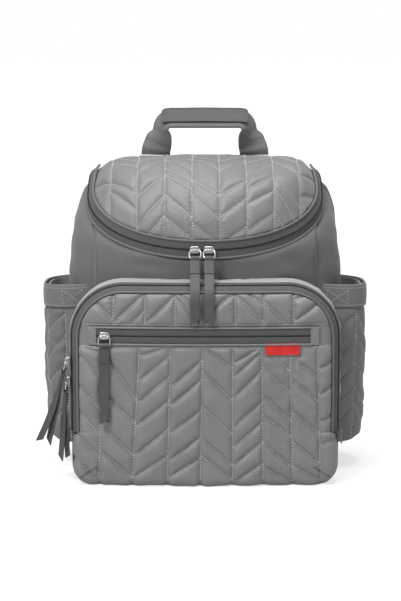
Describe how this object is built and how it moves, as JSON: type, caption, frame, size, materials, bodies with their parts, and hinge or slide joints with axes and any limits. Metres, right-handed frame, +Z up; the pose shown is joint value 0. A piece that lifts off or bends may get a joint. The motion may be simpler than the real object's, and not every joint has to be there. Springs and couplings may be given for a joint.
{
  "type": "diaper bag",
  "caption": "Soft quilted backpack-style diaper bag with a zipped dome lid, fold-down front pocket, slip pocket, side pockets, carry handle and shoulder straps.",
  "frame": {"origin": "middle of the main body base, on the floor", "axes": "+Z up, the front pocket faces -Y, +X to the viewer's right of the front"},
  "size_m": [0.373, 0.2097, 0.4099],
  "materials": {
    "quilt": "quilted, slightly shiny polyester",
    "twill": "smooth twill",
    "zip_tape": "woven tape with moulded teeth",
    "leather": "satin",
    "grip_leather": "satin",
    "lining": "plain woven",
    "webbing": "ribbed webbing",
    "chrome": "polished",
    "plastic": "moulded",
    "label": "woven, blank",
    "board": "plain sheet"
  },
  "bodies": {
    "bag": {"base_panel": "twill", "front_panel": "twill", "side_gusset_right": "twill", "side_gusset_left": "twill", "back_panel": "twill", "main_lining": "lining", "base_board": "board", "body_zip_tape": "zip_tape", "pocket_gusset": "twill", "pocket_zip_tape": "zip_tape", "pocket_base_panel": "quilt", "side_pocket_right": "quilt", "side_pocket_left": "quilt", "side_pocket_hem_right": "quilt", "side_pocket_hem_left": "quilt", "zip_end_tab_left": "twill", "zip_end_tab_right": "twill", "handle_anchor_left": "twill", "handle_anchor_right": "twill", "shoulder_strap_left": "twill", "strap_webbing_left": "webbing", "strap_anchor_left": "twill", "ladder_lock_left": "plastic", "shoulder_strap_right": "twill", "strap_webbing_right": "webbing", "strap_anchor_right": "twill", "ladder_lock_right": "plastic"},
    "lid": {"lid_panel": "quilt", "lid_lining": "lining", "lid_zip_tape": "zip_tape"},
    "front_flap": {"flap_zip_tape": "zip_tape", "flap_panel": "quilt", "slip_zip_tape": "zip_tape", "slip_pouch_lining": "lining", "blank_label": "label"},
    "handle": {"handle_strap": "twill", "handle_grip": "grip_leather"},
    "main_left_slider_body": {"main_left_slider": "chrome"},
    "main_left_pull_body": {"main_left_ring": "chrome", "main_left_pull": "leather"},
    "main_right_slider_body": {"main_right_slider": "chrome"},
    "main_right_pull_body": {"main_right_ring": "chrome", "main_right_pull": "leather"},
    "slip_slider_body": {"slip_slider": "chrome"},
    "slip_pull_body": {"slip_ring": "chrome", "slip_pull": "leather"},
    "flap_upper_slider_body": {"flap_upper_slider": "chrome"},
    "flap_upper_pull_body": {"flap_upper_ring": "chrome", "flap_upper_pull": "leather"},
    "flap_lower_slider_body": {"flap_lower_slider": "chrome"},
    "flap_lower_pull_body": {"flap_lower_ring": "chrome", "flap_lower_pull": "leather"}
  },
  "joints": [
    {"name": "lid_hinge", "type": "hinge", "parent": "bag", "child": "lid", "pos_m": [0, 0.056, 0.349], "axis": [-1, 0, 0], "range_deg": [0, 60], "deforming": ["lid_zip_tape"]},
    {"name": "flap_hinge", "type": "hinge", "parent": "bag", "child": "front_flap", "pos_m": [0, -0.1215, 0.058], "axis": [1, 0, 0], "range_deg": [0, 85], "deforming": ["main_left_pull", "main_right_pull"]},
    {"name": "handle_fold", "type": "hinge", "parent": "bag", "child": "handle", "pos_m": [0, 0.0652, 0.354], "axis": [-1, 0, 0], "range_deg": [0, 85]},
    {"name": "main_left_travel", "type": "hinge", "parent": "bag", "child": "main_left_slider_body", "pos_m": [0, 0.10945, 0.38594], "axis": [0, 0.5476, -0.8368], "range_deg": [0, 14]},
    {"name": "main_right_travel", "type": "hinge", "parent": "bag", "child": "main_right_slider_body", "pos_m": [0, 0.10945, 0.38594], "axis": [0, -0.5476, 0.8368], "range_deg": [0, 14]},
    {"name": "main_left_swing", "type": "hinge", "parent": "main_left_slider_body", "child": "main_left_pull_body", "pos_m": [-0.0111, -0.0872, 0.26], "axis": [-1, 0, 0], "range_deg": [0, 90]},
    {"name": "main_right_swing", "type": "hinge", "parent": "main_right_slider_body", "child": "main_right_pull_body", "pos_m": [0.0045, -0.0872, 0.26], "axis": [-1, 0, 0], "range_deg": [0, 90]},
    {"name": "slip_travel", "type": "hinge", "parent": "front_flap", "child": "slip_slider_body", "pos_m": [0, 1.13055, 0.1695], "axis": [0, 0, 1], "range_deg": [0, 9.8]},
    {"name": "slip_swing", "type": "hinge", "parent": "slip_slider_body", "child": "slip_pull_body", "pos_m": [-0.11037, -0.11878, 0.1695], "axis": [-0.9962, 0.0872, 0], "range_deg": [0, 90]},
    {"name": "flap_upper_travel", "type": "slide", "parent": "bag", "child": "flap_upper_slider_body", "axis": [0, 0, 1], "range_m": [0, 0.025]},
    {"name": "flap_lower_travel", "type": "slide", "parent": "bag", "child": "flap_lower_slider_body", "axis": [0, 0, -1], "range_m": [0, 0.045]},
    {"name": "flap_upper_swing", "type": "hinge", "parent": "flap_upper_slider_body", "child": "flap_upper_pull_body", "pos_m": [-0.1536, -0.101, 0.139], "axis": [0, 1, 0], "range_deg": [0, 60], "deforming": ["flap_upper_pull"]},
    {"name": "flap_lower_swing", "type": "hinge", "parent": "flap_lower_slider_body", "child": "flap_lower_pull_body", "pos_m": [-0.1536, -0.101, 0.117], "axis": [0, 1, 0], "range_deg": [0, 60], "deforming": ["flap_lower_pull"]}
  ]
}
